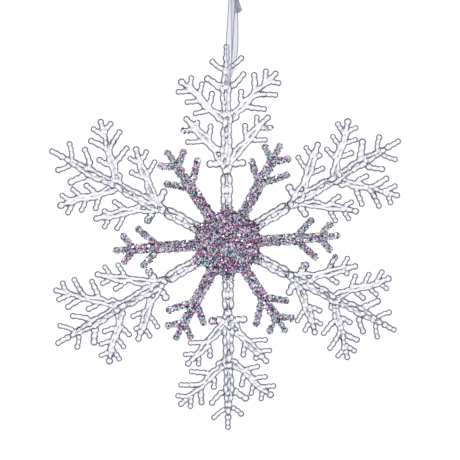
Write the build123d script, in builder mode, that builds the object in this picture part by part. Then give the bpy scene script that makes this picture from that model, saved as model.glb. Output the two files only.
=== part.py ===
"""Clear moulded snowflake ornament with a glittered heart, hung on a sheer ribbon.

Millimetres, +Z up, front towards -Y. The origin is the inside top of the ribbon's loop,
where it rests on a hook, and the snowflake hangs below it. The snowflake is one clear
moulding, made here as a hub and twelve arms that meet it on flat root faces. Each long
arm is the same slightly lopsided pattern, and so is each short one. A glitter coat lies
on the front of the hub and of the short arms.
"""

from build123d import *
import os
from math import atan2, cos, degrees, radians, sin

# Snowflake
hub_apothem = 13.5  # hub centre to the flat root face of each arm
hub_depth = 3.6
arm_count = 6  # of each kind
short_arm_lean = 1.45  # degrees that the short arms stand off the middle between long ones

# Long arm: widths across the front, depths front to back
stem_depth = 3.6
branch_depth = 3.0
twig_depth = 2.5
lower_stem_width = 4.8
middle_stem_width = 4.2
upper_stem_width = 3.9
top_stem_width = 2.9
branch_width = 3.3
twig_width = 2.6
stub_width = 3.1
lower_node = 38.0  # heights up the arm, from the hub's centre
upper_node = 54.0
eye_height = 65.1
crown_node = 65.0
tip_centre = 81.2  # centre of the end bead

# Each branch is (main line, twigs), as bead centres (across, up) from the hub's centre.
lower_right = (
    [(1.0, 37.4), (7.9, 42.8), (11.8, 46.6), (15.2, 49.9), (16.5, 52.0)],
    [
        ((7.6, 43.2), (7.4, 49.0)),
        ((12.3, 47.2), (12.3, 52.1)),
        ((8.4, 43.4), (10.7, 43.2)),
        ((10.7, 43.2), (15.8, 42.8)),
        ((13.6, 48.4), (17.9, 48.0)),
    ],
)
lower_left = (
    [(-1.0, 38.0), (-7.1, 42.8), (-10.3, 45.7), (-12.7, 48.8), (-16.0, 52.3)],
    [
        ((-7.0, 43.0), (-6.4, 49.1)),
        ((-11.7, 47.6), (-11.8, 50.7)),
        ((-8.6, 44.2), (-11.0, 43.0)),
        ((-11.0, 43.0), (-15.7, 43.0)),
        ((-12.7, 48.5), (-17.4, 48.0)),
    ],
)
upper_right = (
    [(1.0, 51.8), (7.6, 57.9), (11.0, 62.1), (14.9, 65.5), (17.7, 67.6), (20.2, 69.8)],
    [
        ((6.8, 57.4), (6.2, 63.0)),
        ((11.5, 62.8), (11.4, 69.6)),
        ((15.6, 66.0), (16.1, 71.1)),
        ((7.6, 57.6), (15.4, 55.6)),
        ((11.0, 62.1), (20.0, 61.2)),
        ((17.0, 67.1), (21.3, 65.9)),
    ],
)
upper_left = (
    [(-1.0, 52.8), (-7.1, 57.1), (-10.3, 60.4), (-12.6, 63.8), (-15.5, 66.4), (-18.0, 67.5)],
    [
        ((-6.2, 56.6), (-5.8, 62.3)),
        ((-10.5, 60.8), (-9.8, 66.5)),
        ((-13.9, 64.8), (-13.9, 69.1)),
        ((-6.8, 56.6), (-12.4, 54.5)),
        ((-10.3, 60.4), (-15.8, 59.2)),
        ((-12.8, 63.9), (-19.2, 63.5)),
    ],
)
crown_twigs = [
    ((0.0, 72.0), (-5.3, 75.4)),
    ((0.0, 72.4), (6.0, 76.6)),
    ((-0.6, 64.9), (-7.1, 68.5)),
    ((0.6, 64.9), (6.9, 70.0)),
]
stub_twigs = [((0.0, 33.6), (-6.7, 33.5)), ((0.0, 33.7), (6.4, 33.7))]

# Short arm
short_depth = 3.0
short_stem_width = 4.2
short_neck_width = 3.4
short_twig_width = 2.8
short_fork = 28.4
short_tip_centre = 45.6
short_twigs = [
    ((0.0, 28.0), (-7.3, 34.8)),
    ((0.0, 28.4), (8.2, 36.2)),
    ((0.0, 37.6), (-5.3, 42.6)),
    ((0.0, 37.6), (5.5, 42.4)),
]

# Glitter coat: a film of adhesive with flakes in it, set in from the clear edge
coat_thickness = 0.35
coat_inset = 0.35

# Eye and ribbon
eye_diameter = 2.2
ribbon_width = 3.0
strand_width = 2.6  # a strand that carries the weight curls in a little
ribbon_thickness = 0.3
gathered_diameter = 1.0  # the ribbon bunched up, as it passes the eye
bight_rise = 0.2  # of the bight's line above the eye's centre
bight_bend = 1.1
bight_clearance = 0.35  # between the bunched ribbon and the stem's faces
bight_height = 2.7  # from the bight's line up to where the strands lie flat
knot_across = 3.2  # how far the knot stands to the right of the long arm's line
knot_bottom = 101.0  # above the hub's centre
knot_height = 3.6
knot_width = 4.2
knot_depth = 3.2
knot_fillet = 1.0
strand_gap_at_knot = 0.6  # between the two strands where they enter the knot
tail_width = 2.2
tail_across = 0.9  # of the tails' roots, to the right of the knot's middle
tail_stand = 1.35  # of the tails, in front of and behind the knot's middle
loop_gap = 0.2  # between the knot's top and the loop's two feet, which turn on it
loop_height = 27.0  # from the knot's top to the loop's inside top
loop_spread = 7.0  # between the loop's two legs, on their centre lines
loop_shoulder = 9.0  # how far above the knot the legs come upright

# Places, from the values above
loop_top_line = ribbon_thickness / 2  # the strip's centre line passes over the origin
hub_across = -knot_across
hub_height = -(knot_bottom + knot_height + loop_height)
hub_corner = hub_apothem / cos(radians(15))
strand_line = stem_depth / 2 + bight_clearance + gathered_diameter / 2


def arm_plane(angle: float, lift: float = 0.0) -> Plane:
    """The plane of an arm at an angle anticlockwise from straight up, lifted forwards."""
    turn = radians(angle)
    return Plane(
        origin=(hub_across, 0, hub_height),
        x_dir=(cos(turn), 0, sin(turn)),
        z_dir=(0, -1, 0),
    ).offset(lift)


def limb(start: tuple, end: tuple, width: float) -> None:
    """Adds a round-ended limb between two bead centres to the open sketch."""
    across, up = end[0] - start[0], end[1] - start[1]
    with Locations(((start[0] + end[0]) / 2, (start[1] + end[1]) / 2)):
        SlotCenterToCenter(
            (across**2 + up**2) ** 0.5, width, rotation=degrees(atan2(up, across))
        )


def stem_piece(bottom: float, top: float, width: float) -> None:
    """Adds a straight length of stem, square at both ends, to the open sketch."""
    with Locations((0, (bottom + top) / 2)):
        Rectangle(width, top - bottom)


def hub_outline(inset: float) -> None:
    """Adds the hub's twelve-sided outline, which has one side for each arm's root."""
    reach = hub_corner + 1
    Circle(hub_corner - inset)
    for i in range(arm_count):
        for angle in (60 * i, 60 * i + 30 + short_arm_lean):
            turn = radians(angle)
            middle = hub_apothem - inset + reach / 2
            with Locations((-middle * sin(turn), middle * cos(turn))):
                Rectangle(2 * reach, reach, rotation=angle, mode=Mode.SUBTRACT)


def short_outline(inset: float) -> None:
    """Adds a short arm's outline, with its root square on the hub's side."""
    stem_piece(hub_apothem, short_fork, short_stem_width - 2 * inset)
    limb((0, short_fork), (0, short_fork + 1), short_stem_width - 2 * inset)
    limb((0, short_fork), (0, short_tip_centre), short_neck_width - 2 * inset)
    for start, end in short_twigs:
        limb(start, end, short_twig_width - 2 * inset)


os.makedirs("parts", exist_ok=True)

# Clear hub
with BuildPart() as hub:
    with BuildSketch(arm_plane(0)):
        hub_outline(0)
    extrude(amount=hub_depth / 2, both=True)
hub.part.label = "hub"
export_step(hub.part, "parts/hub.step")

# Six long arms, numbered clockwise from the top one, which has the eye
for number in range(arm_count):
    plane = arm_plane(-60 * number)
    with BuildPart() as long_arm:
        with BuildSketch(plane):
            stem_piece(hub_apothem, lower_node, lower_stem_width)
            limb((0, lower_node - 1), (0, lower_node), lower_stem_width)
            stem_piece(lower_node, upper_node, middle_stem_width)
            limb((0, upper_node - 1), (0, crown_node), upper_stem_width)
        extrude(amount=stem_depth / 2, both=True)
        with BuildSketch(plane):
            for main_line, _ in (lower_right, lower_left, upper_right, upper_left):
                for start, end in zip(main_line, main_line[1:]):
                    limb(start, end, branch_width)
        extrude(amount=branch_depth / 2, both=True)
        with BuildSketch(plane):
            limb((0, crown_node), (0, tip_centre), top_stem_width)
            for _, twigs in (lower_right, lower_left, upper_right, upper_left):
                for start, end in twigs:
                    limb(start, end, twig_width)
            for start, end in crown_twigs:
                limb(start, end, twig_width)
            for start, end in stub_twigs:
                limb(start, end, stub_width)
        extrude(amount=twig_depth / 2, both=True)
        if number == 0:
            with Locations(plane):
                with Locations((0, eye_height)):
                    Hole(radius=eye_diameter / 2)
    name = f"long_arm_{number + 1}"
    long_arm.part.label = name
    export_step(long_arm.part, f"parts/{name}.step")

# Six short arms and the coat on each, numbered clockwise from the top right one
for number in range(arm_count):
    angle = -60 * number - 30 + short_arm_lean
    with BuildPart() as short_arm:
        with BuildSketch(arm_plane(angle)):
            short_outline(0)
        extrude(amount=short_depth / 2, both=True)
    name = f"short_arm_{number + 1}"
    short_arm.part.label = name
    export_step(short_arm.part, f"parts/{name}.step")

    with BuildPart() as arm_coat:
        with BuildSketch(arm_plane(angle, short_depth / 2)):
            short_outline(coat_inset)
        extrude(amount=coat_thickness)
    name = f"glitter_coat_arm_{number + 1}"
    arm_coat.part.label = name
    export_step(arm_coat.part, f"parts/{name}.step")

# Glitter coat on the hub
with BuildPart() as hub_coat:
    with BuildSketch(arm_plane(0, hub_depth / 2)):
        hub_outline(coat_inset)
    extrude(amount=coat_thickness)
hub_coat.part.label = "glitter_coat_hub"
export_step(hub_coat.part, "parts/glitter_coat_hub.step")

# Ribbon where it is bunched up in the eye: down the front, through, and up the back
bight_line = hub_height + eye_height + bight_rise
bight_top = bight_line + bight_height
with BuildPart() as bight:
    with BuildLine() as bight_path:
        FilletPolyline(
            (hub_across, -strand_line, bight_top),
            (hub_across, -strand_line, bight_line),
            (hub_across, strand_line, bight_line),
            (hub_across, strand_line, bight_top),
            radius=bight_bend,
        )
    with BuildSketch(Plane(origin=bight_path.line @ 0, z_dir=bight_path.line % 0)):
        Circle(gathered_diameter / 2)
    sweep()
bight.part.label = "ribbon_bight"
export_step(bight.part, "parts/ribbon_bight.step")
print("bends of ribbon_bight:", [bight_bend, bight_bend])

# The two strands from the eye to the knot: flat strips, each in its own leaning plane.
# An edge is a list of (across from the long arm's line, height above the bight's top).
strand_foot = eye_height + bight_rise + bight_height
strand_rise = knot_bottom - strand_foot
strand_half_at_knot = strand_gap_at_knot / 2 + ribbon_thickness / 2
strands = {
    "ribbon_strand_front": (-1, [(0.9, 0.0), (1.1, 14.2), (knot_across - 0.5, strand_rise)]),
    "ribbon_strand_back": (
        1,
        [(0.9, 0.0), (3.5, 8.0), (3.7, 20.0), (knot_across + 0.4, strand_rise)],
    ),
}
for name, (side, middle) in strands.items():
    foot = Vector(hub_across, side * strand_line, bight_top)
    lean = Vector(0, side * (strand_half_at_knot - strand_line), strand_rise)
    strand_plane = Plane(origin=foot, x_dir=(1, 0, 0), z_dir=Vector(1, 0, 0).cross(lean))
    stretch = lean.length / strand_rise
    with BuildPart() as strand:
        with BuildSketch(strand_plane):
            left = [(across - strand_width / 2, up * stretch) for across, up in middle]
            right = [(across + strand_width / 2, up * stretch) for across, up in middle]
            with BuildLine():
                Polyline(*left, *reversed(right), close=True)
            make_face()
        extrude(amount=ribbon_thickness / 2, both=True)
    strand.part.label = name
    export_step(strand.part, f"parts/{name}.step")

# Knot
with BuildPart() as knot:
    with Locations((0, 0, hub_height + knot_bottom + knot_height / 2)):
        Box(knot_width, knot_depth, knot_height)
    fillet(knot.edges().filter_by(Axis.Z), knot_fillet)
knot.part.label = "ribbon_knot"
export_step(knot.part, "parts/ribbon_knot.step")

# Two cut tails, which hang from the knot's bottom, one before and one behind the strands:
# (side, length, how far off straight down, rise of the cut across half the width)
tails = {
    "ribbon_tail_front": (-1, 5.8, 16.0, 0.8),
    "ribbon_tail_back": (1, 6.8, 8.5, 0.4),
}
for name, (side, tail_length, splay, slant) in tails.items():
    root = Vector(tail_across, side * tail_stand, hub_height + knot_bottom)
    end_across = tail_length * sin(radians(splay))
    end_drop = tail_length * cos(radians(splay))
    with BuildPart() as tail:
        with BuildSketch(Plane(origin=root, x_dir=(1, 0, 0), z_dir=(0, -1, 0))):
            with BuildLine():
                Polyline(
                    (tail_width / 2, 0),
                    (-tail_width / 2, 0),
                    (end_across - tail_width / 2, -end_drop - slant),
                    (end_across + tail_width / 2, -end_drop + slant),
                    close=True,
                )
            make_face()
        extrude(amount=ribbon_thickness / 2, both=True)
    tail.part.label = name
    export_step(tail.part, f"parts/{name}.step")

# Loop over the hook: one strip that leaves the knot, opens, turns over and comes back
loop_foot = hub_height + knot_bottom + knot_height + loop_gap
leg_foot = strand_half_at_knot + ribbon_thickness
with BuildPart() as loop:
    with BuildSketch(Plane.YZ.offset(-ribbon_width / 2)):
        with BuildLine():
            FilletPolyline(
                (-leg_foot, loop_foot),
                (-loop_spread / 2, loop_foot + loop_shoulder),
                (-loop_spread / 2, loop_top_line),
                (loop_spread / 2, loop_top_line),
                (loop_spread / 2, loop_foot + loop_shoulder),
                (leg_foot, loop_foot),
                radius=loop_spread / 2 - 0.01,
            )
        trace(line_width=ribbon_thickness)
    extrude(amount=ribbon_width)
loop.part.label = "ribbon_loop"
export_step(loop.part, "parts/ribbon_loop.step")
print("bends of ribbon_loop:", [loop_spread / 2 - 0.01] * 4)
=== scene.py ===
"""The looks of a clear moulded snowflake ornament with a glittered heart, on a sheer ribbon.

The snowflake is one clear polystyrene moulding of rows of rounded beads: a hub, six long
arms and six short arms. Flakes of cut film are stuck to the front of the hub and of the
short arms. A 3 mm organza ribbon passes through an eye in the top arm.
"""

import logging
import math
import random
from collections.abc import Callable
from dataclasses import dataclass, field
from enum import Enum

import bmesh
import bpy
import numpy as np
from mathutils import Matrix, Quaternion, Vector
from mathutils.noise import noise


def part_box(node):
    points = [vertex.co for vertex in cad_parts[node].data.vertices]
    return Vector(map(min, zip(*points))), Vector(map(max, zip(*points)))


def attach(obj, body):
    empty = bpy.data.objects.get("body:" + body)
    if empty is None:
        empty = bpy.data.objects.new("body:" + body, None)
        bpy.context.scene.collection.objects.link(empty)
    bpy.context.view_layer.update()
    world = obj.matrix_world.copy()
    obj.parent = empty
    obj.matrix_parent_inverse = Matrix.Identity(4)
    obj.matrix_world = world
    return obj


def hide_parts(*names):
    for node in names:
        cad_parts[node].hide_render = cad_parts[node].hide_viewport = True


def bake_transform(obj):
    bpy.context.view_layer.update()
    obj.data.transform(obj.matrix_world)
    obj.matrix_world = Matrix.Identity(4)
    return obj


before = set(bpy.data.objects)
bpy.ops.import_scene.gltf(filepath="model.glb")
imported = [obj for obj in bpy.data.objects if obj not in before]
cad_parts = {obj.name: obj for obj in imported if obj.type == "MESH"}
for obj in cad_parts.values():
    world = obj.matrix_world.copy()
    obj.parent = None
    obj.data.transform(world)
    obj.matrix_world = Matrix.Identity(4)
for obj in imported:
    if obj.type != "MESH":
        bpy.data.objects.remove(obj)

MM = 0.001
LOG = logging.getLogger("snowflake")
SNOWFLAKE, RIBBON, HANGER = "snowflake", "ribbon", "hanger"
WAVE_STEP = 0.31  # distance between a wave texture's bands at a scale of 1
Point = tuple[float, float]  # across and up, in an arm's own plane
Spot = tuple[float, float, float]  # a bead's centre, across and up, and its half width


class Slot(Enum):
    """The record's material slots."""

    CLEAR = "clear_plastic"
    GLITTER = "glitter"
    RIBBON = "ribbon"


# ---------------------------------------------------------------- colours and nodes


def linear(hex_colour: str) -> tuple[float, float, float, float]:
    """Turns an sRGB hex value into linear RGBA.

    Args:
        hex_colour: Six hex digits with a leading hash.

    Returns:
        Linear red, green, blue and an alpha of 1.
    """
    parts = [int(hex_colour[i : i + 2], 16) / 255 for i in (1, 3, 5)]
    low = [p / 12.92 if p <= 0.04045 else ((p + 0.055) / 1.055) ** 2.4 for p in parts]
    return (low[0], low[1], low[2], 1.0)


def add_node(
    tree: bpy.types.NodeTree, kind: str, settings: dict | None = None, links: dict | None = None
) -> bpy.types.Node:
    """Adds a node with its settings and the links into it.

    Args:
        tree: The node tree that takes the node.
        kind: The node's Blender type name.
        settings: Values for inputs, by input name or number, or for the node's properties.
        links: Output sockets to link, by the input's name or number.

    Returns:
        The new node.
    """
    made = tree.nodes.new(kind)
    for key, value in (settings or {}).items():
        if isinstance(key, int) or key in made.inputs:
            made.inputs[key].default_value = value
        else:
            setattr(made, key, value)
    for key, socket in (links or {}).items():
        tree.links.new(socket, made.inputs[key])
    return made


def new_material(name: str) -> tuple[bpy.types.Material, bpy.types.NodeTree]:
    """Makes an empty node material.

    Args:
        name: The material's name.

    Returns:
        The material and its node tree.
    """
    material = bpy.data.materials.new(name)
    material.use_nodes = True
    material.node_tree.nodes.clear()
    return material, material.node_tree


def set_ramp(ramp: bpy.types.Node, stops: list[tuple[float, str]]) -> None:
    """Gives a colour ramp its stops.

    Args:
        ramp: The colour ramp's node.
        stops: Each stop's place, from 0 to 1, and its hex colour.
    """
    elements = ramp.color_ramp.elements
    while len(elements) > 1:
        elements.remove(elements[-1])
    for i, (place, colour) in enumerate(stops):
        stop = elements[0] if i == 0 else elements.new(place)
        stop.position = place
        stop.color = linear(colour)


# ---------------------------------------------------------------- finishes


@dataclass(frozen=True)
class CrystalPolystyrene:
    """Clear general-purpose polystyrene, injection moulded in a polished tool.

    The eye sees through its middle and finds it by its rims, where rounded beads turn away and a painted
    cool grey shade, set by facing, stands in for the darker surroundings seen through them.
    The very edge is painted a little lighter again, as a painted reflection, and the small clean highlights
    come from the shader.
    """

    name: str = "crystal_polystyrene_moulded"
    ior: float = 1.49
    roughness: float = 0.03
    # From middle out to the glancing edge: painted shade that darkens the rims as they turn away, then a
    # little lighter at the very edge as a painted reflection.
    middle: str = "#FAFAFC"
    painted_turning_shade: str = "#A8AABD"
    rim: str = "#2A2C40"
    painted_glancing_rim: str = "#9C9EB2"
    flow_mm: float = 5.0  # faint flow lines from the gate
    painted_shade_surfaces: float = 1.5  # the front and back of the nearest bead, which take the painted rim shade

    def make(self) -> bpy.types.Material:
        """Makes the material.

        Returns:
            A material with a painted rim shade, set by facing, and a faint flow ripple.
        """
        material, tree = new_material(self.name)
        facing = add_node(tree, "ShaderNodeLayerWeight", {"Blend": 0.5})
        # A ramp by facing paints the rim shade: the cool grey of darker surroundings seen through the
        # turning beads.
        painted_rim_ramp = add_node(tree, "ShaderNodeValToRGB", links={0: facing.outputs["Facing"]})
        stops = [(0.0, self.middle), (0.07, self.middle), (0.16, self.painted_turning_shade), (0.25, self.rim)]
        set_ramp(painted_rim_ramp, [*stops, (0.45, self.rim), (0.7, self.painted_glancing_rim)])
        # The painted rim shade isn't painted again on light that goes on to the glitter, or through many
        # beads in a row.
        path = add_node(tree, "ShaderNodeLightPath")
        deep = add_node(
            tree,
            "ShaderNodeMath",
            {"operation": "GREATER_THAN", 1: self.painted_shade_surfaces},
            {0: path.outputs["Transmission Depth"]},
        )
        spent = add_node(
            tree,
            "ShaderNodeMath",
            {"operation": "ADD", "use_clamp": True},
            {0: deep.outputs[0], 1: path.outputs["Diffuse Depth"]},
        )
        once = add_node(
            tree,
            "ShaderNodeMix",
            {"data_type": "RGBA", 7: linear("#FFFFFF")},
            {0: spent.outputs[0], 6: painted_rim_ramp.outputs["Color"]},
        )
        place = add_node(tree, "ShaderNodeTexCoord")
        ripple = add_node(
            tree,
            "ShaderNodeTexNoise",
            {"Scale": 1 / (self.flow_mm * MM), "Detail": 2.0, "Roughness": 0.45},
            {"Vector": place.outputs["Object"]},
        )
        bump = add_node(
            tree,
            "ShaderNodeBump",
            {"Strength": 0.12, "Distance": 0.0004},
            {"Height": ripple.outputs["Fac"]},
        )
        shader = add_node(
            tree,
            "ShaderNodeBsdfPrincipled",
            {"Roughness": self.roughness, "IOR": self.ior, "Transmission Weight": 1.0},
            {"Base Color": once.outputs[2], "Normal": bump.outputs["Normal"]},
        )
        add_node(tree, "ShaderNodeOutputMaterial", links={"Surface": shader.outputs[0]})
        return material


@dataclass(frozen=True)
class CutFilmFlake:
    """One colour of glitter: metallised polyester film cut into half-millimetre hexagons.

    Each flake is a small mirror of its colour, so it's bright or dark by how it lies.
    """

    name: str
    colour: str
    other: str  # the colour that the film shifts to from flake to flake
    metallic: float = 0.85
    roughness: float = 0.28

    def make(self) -> bpy.types.Material:
        """Makes the material.

        Returns:
            A metallic material whose colour differs a little from flake to flake.
        """
        material, tree = new_material(self.name)
        shape = add_node(tree, "ShaderNodeNewGeometry")
        mix = add_node(tree, "ShaderNodeValToRGB", links={0: shape.outputs["Random Per Island"]})
        set_ramp(mix, [(0.0, self.colour), (1.0, self.other)])
        shader = add_node(
            tree,
            "ShaderNodeBsdfPrincipled",
            {"Metallic": self.metallic, "Roughness": self.roughness},
            {"Base Color": mix.outputs["Color"]},
        )
        add_node(tree, "ShaderNodeOutputMaterial", links={"Surface": shader.outputs[0]})
        return material


@dataclass(frozen=True)
class FlakedAdhesive:
    """Dried clear adhesive, full of flakes that lie too deep to catch the light singly.

    It gives a mauve-grey ground of small facets between the flakes on top.
    """

    name: str = "flaked_adhesive_brushed"
    flake_mm: float = 0.5
    ground: tuple[str, ...] = (
        "#37333F",
        "#9C98AC",
        "#E0DFEA",
        "#A0669A",
        "#B4CCCC",
        "#67626F",
        "#CFCDDC",
        "#8A8496",
    )

    def make(self) -> bpy.types.Material:
        """Makes the material.

        Returns:
            A material of random facets the size of a flake.
        """
        material, tree = new_material(self.name)
        place = add_node(tree, "ShaderNodeTexCoord")
        facets = add_node(
            tree,
            "ShaderNodeTexVoronoi",
            {"Scale": 1 / (self.flake_mm * MM), "Randomness": 1.0},
            {"Vector": place.outputs["Object"]},
        )
        pick = add_node(tree, "ShaderNodeSeparateColor", links={0: facets.outputs["Color"]})
        colour = add_node(tree, "ShaderNodeValToRGB", links={0: pick.outputs[0]})
        colour.color_ramp.interpolation = "CONSTANT"
        set_ramp(colour, [(i / len(self.ground), c) for i, c in enumerate(self.ground)])
        bump = add_node(
            tree,
            "ShaderNodeBump",
            {"Strength": 0.8, "Distance": 0.0002},
            {"Height": pick.outputs[1]},
        )
        shader = add_node(
            tree,
            "ShaderNodeBsdfPrincipled",
            {"Metallic": 0.4, "Roughness": 0.38},
            {"Base Color": colour.outputs["Color"], "Normal": bump.outputs["Normal"]},
        )
        add_node(tree, "ShaderNodeOutputMaterial", links={"Surface": shader.outputs[0]})
        return material


@dataclass(frozen=True)
class SheerOrganza:
    """Sheer organza ribbon, a plain weave of fine twisted polyester with a closed edge.

    Most of the light passes between the threads, and the edges and folds look denser.
    """

    name: str
    cover: float = 0.46  # share of the light that the weave stops
    edge_cover: float = 0.88
    thread: str = "#BDBDD2"
    edge: str = "#6A6988"
    weave_mm: float = 0.5  # coarser than the real 0.15 mm, which is too fine to show

    def make(self) -> bpy.types.Material:
        """Makes the material. It reads the ribbon's UV map: U across, V along in mm.

        Returns:
            A see-through woven material.
        """
        material, tree = new_material(self.name)
        uv = add_node(tree, "ShaderNodeUVMap", {"uv_map": "ribbon"})
        axes = add_node(tree, "ShaderNodeSeparateXYZ", links={0: uv.outputs["UV"]})
        middle = add_node(
            tree, "ShaderNodeMath", {"operation": "SUBTRACT", 1: 0.5}, {0: axes.outputs["X"]}
        )
        away = add_node(tree, "ShaderNodeMath", {"operation": "ABSOLUTE"}, {0: middle.outputs[0]})
        edge = add_node(
            tree,
            "ShaderNodeMapRange",
            {"interpolation_type": "SMOOTHSTEP", "From Min": 0.34, "From Max": 0.41},
            {"Value": away.outputs[0]},
        )
        weave = add_node(
            tree,
            "ShaderNodeTexWave",
            {"wave_type": "BANDS", "bands_direction": "Y", "Scale": WAVE_STEP / self.weave_mm},
            {"Vector": uv.outputs["UV"]},
        )
        cover = add_node(
            tree,
            "ShaderNodeMapRange",
            {"To Min": self.cover, "To Max": self.edge_cover},
            {"Value": edge.outputs[0]},
        )
        threads = add_node(
            tree,
            "ShaderNodeMath",
            {"operation": "MULTIPLY_ADD", 1: 0.08},
            {0: weave.outputs["Fac"], 2: cover.outputs[0]},
        )
        colour = add_node(
            tree,
            "ShaderNodeMix",
            {"data_type": "RGBA", 6: linear(self.thread), 7: linear(self.edge)},
            {0: edge.outputs[0]},
        )
        cloth = add_node(
            tree,
            "ShaderNodeBsdfPrincipled",
            {"Roughness": 0.6, "Sheen Weight": 0.3},
            {"Base Color": colour.outputs[2], "Alpha": threads.outputs[0]},
        )
        add_node(tree, "ShaderNodeOutputMaterial", links={"Surface": cloth.outputs[0]})
        return material


@dataclass(frozen=True)
class PalePaper:
    """Matt white background paper, which takes light evenly and shows no gloss."""

    name: str = "background_paper_matt"
    colour: str = "#FCFCFC"
    grain_mm: float = 1.11

    def make(self) -> bpy.types.Material:
        """Makes the material.

        Returns:
            A matt material with a faint grain.
        """
        material, tree = new_material(self.name)
        place = add_node(tree, "ShaderNodeTexCoord")
        grain = add_node(
            tree,
            "ShaderNodeTexNoise",
            {"Scale": 1 / (self.grain_mm * MM), "Detail": 1.0},
            {0: place.outputs["Object"]},
        )
        bump = add_node(
            tree, "ShaderNodeBump", {"Strength": 0.03}, {"Height": grain.outputs["Fac"]}
        )
        shader = add_node(
            tree,
            "ShaderNodeBsdfPrincipled",
            {"Base Color": linear(self.colour), "Roughness": 1.0, "Specular IOR Level": 0.0},
            {"Normal": bump.outputs["Normal"]},
        )
        add_node(tree, "ShaderNodeOutputMaterial", links={"Surface": shader.outputs[0]})
        return material


# ---------------------------------------------------------------- meshes


def new_object(name: str, mesh: bpy.types.Mesh) -> bpy.types.Object:
    """Makes an object of a mesh and links it to the scene.

    Args:
        name: The object's name.
        mesh: Its mesh.

    Returns:
        The new object.
    """
    made = bpy.data.objects.new(name, mesh)
    bpy.context.scene.collection.objects.link(made)
    return made


def smooth(mesh: bpy.types.Mesh) -> None:
    """Shades a mesh smooth."""
    mesh.polygons.foreach_set("use_smooth", [True] * len(mesh.polygons))


@dataclass(frozen=True)
class Bead:
    """One rounded lump of the moulding, in the arm's own plane, in millimetres.

    Attributes:
        across: Place across the arm.
        up: Place up the arm, from the hub's centre.
        half_long: Half its length along its own line.
        half_wide: Half its width across that line.
        half_deep: Half its depth, front to back.
        turn: Its line's angle from the arm's across axis, in radians.
    """

    across: float
    up: float
    half_long: float
    half_wide: float
    half_deep: float
    turn: float

    def matrix(self) -> Matrix:
        """Turns a unit sphere, X across and Z up, into this bead.

        Returns:
            The matrix, in millimetres.
        """
        size = Matrix.Diagonal((self.half_long, self.half_deep, self.half_wide, 1))
        turned = Matrix.Rotation(-self.turn, 4, "Y")
        return Matrix.Translation((self.across, 0, self.up)) @ turned @ size


@dataclass
class BeadedPattern:
    """Collects beads and turns them into one smooth moulded mesh."""

    bridge: float = 0.72  # half length of the neck between two beads, as a share of their step
    beads: list[Bead] = field(default_factory=list)

    def limb(
        self, places: list[Spot], depth: float, overlap: float, neck: float = 0.0, ball: bool = False
    ) -> None:
        """Adds a row of overlapping beads.

        Args:
            places: Each bead's centre and half width, from the root to the tip.
            depth: Depth of a bead, front to back.
            overlap: Half length of a bead, as a share of the step to the next one.
            neck: Width between two beads, as a share of the narrower one's.
            ball: Whether the last bead is a round ball.
        """
        last = len(places) - 1
        for i, (across, up, half) in enumerate(places):
            before, after = places[max(i - 1, 0)], places[min(i + 1, last)]
            dx, dz = after[0] - before[0], after[1] - before[1]
            steps = (i > 0) + (i < last)
            half_long = max(half, overlap * math.hypot(dx, dz) / max(steps, 1))
            if ball and i == last:
                half_long = half
            self.beads.append(
                Bead(across, up, half_long, half, depth / 2 * min(1.0, half), math.atan2(dz, dx))
            )
        for one, two in zip(places, places[1:]):
            dx, dz = two[0] - one[0], two[1] - one[1]
            thin = neck * min(one[2], two[2])
            if thin > 0:
                middle = ((one[0] + two[0]) / 2, (one[1] + two[1]) / 2)
                half_long = max(self.bridge * math.hypot(dx, dz), thin)
                self.beads.append(
                    Bead(*middle, half_long, thin, depth / 2 * neck, math.atan2(dz, dx))
                )

    def lump(self, place: Point, half_long: float, half_wide: float, turn: float, depth: float) -> None:
        """Adds one bead by itself.

        Args:
            place: Its centre.
            half_long: Half its length.
            half_wide: Half its width.
            turn: Its line's angle from the across axis, in degrees.
            depth: Its depth, front to back.
        """
        self.beads.append(Bead(*place, half_long, half_wide, depth / 2, math.radians(turn)))

    def build(self, name: str, voxel: float, cuts: list[Bead] | None = None) -> bpy.types.Mesh:
        """Joins the beads into one closed mesh with soft necks between them.

        Args:
            name: The mesh's name.
            voxel: Remeshing grid size, in millimetres.
            cuts: Round holes through the arm, front to back, as beads of the hole's radius.

        Returns:
            The mesh, in metres, around the hub's centre.
        """
        shape = bmesh.new()
        for bead in self.beads:
            bmesh.ops.create_icosphere(
                shape, subdivisions=2, radius=1.0, matrix=Matrix.Scale(MM, 4) @ bead.matrix()
            )
        mesh = bpy.data.meshes.new(name)
        shape.to_mesh(mesh)
        shape.free()
        made = new_object(name, mesh)
        for level in ("join", "round"):
            remesh = made.modifiers.new(level, "REMESH")
            remesh.mode, remesh.voxel_size, remesh.use_smooth_shade = "VOXEL", voxel * MM, True
            if not cuts:
                break
            if level == "join":
                hole = made.modifiers.new("eye", "BOOLEAN")
                hole.operation, hole.object, hole.solver = "DIFFERENCE", self.cutter(cuts), "EXACT"
        soften = made.modifiers.new("soften", "SMOOTH")
        soften.factor, soften.iterations = 0.5, 1
        bpy.context.view_layer.update()
        final = bpy.data.meshes.new_from_object(
            made.evaluated_get(bpy.context.evaluated_depsgraph_get())
        )
        final.name = name
        smooth(final)
        for modifier in made.modifiers:
            if modifier.type == "BOOLEAN":
                bpy.data.objects.remove(modifier.object)
        bpy.data.objects.remove(made)
        return final

    def cutter(self, cuts: list[Bead]) -> bpy.types.Object:
        """Makes the round pins that cut holes through an arm, front to back.

        Args:
            cuts: Beads that give each pin's place and radius.

        Returns:
            The pins, as one object.
        """
        shape = bmesh.new()
        for cut in cuts:
            place = Matrix.Translation((cut.across * MM, 0, cut.up * MM))
            bmesh.ops.create_cone(
                shape,
                cap_ends=True,
                segments=48,
                radius1=cut.half_wide * MM,
                radius2=cut.half_wide * MM,
                depth=0.02,
                matrix=place @ Matrix.Rotation(math.pi / 2, 4, "X"),
            )
        mesh = bpy.data.meshes.new("pins")
        shape.to_mesh(mesh)
        shape.free()
        return new_object("pins", mesh)


# ---------------------------------------------------------------- the clear moulding


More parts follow.
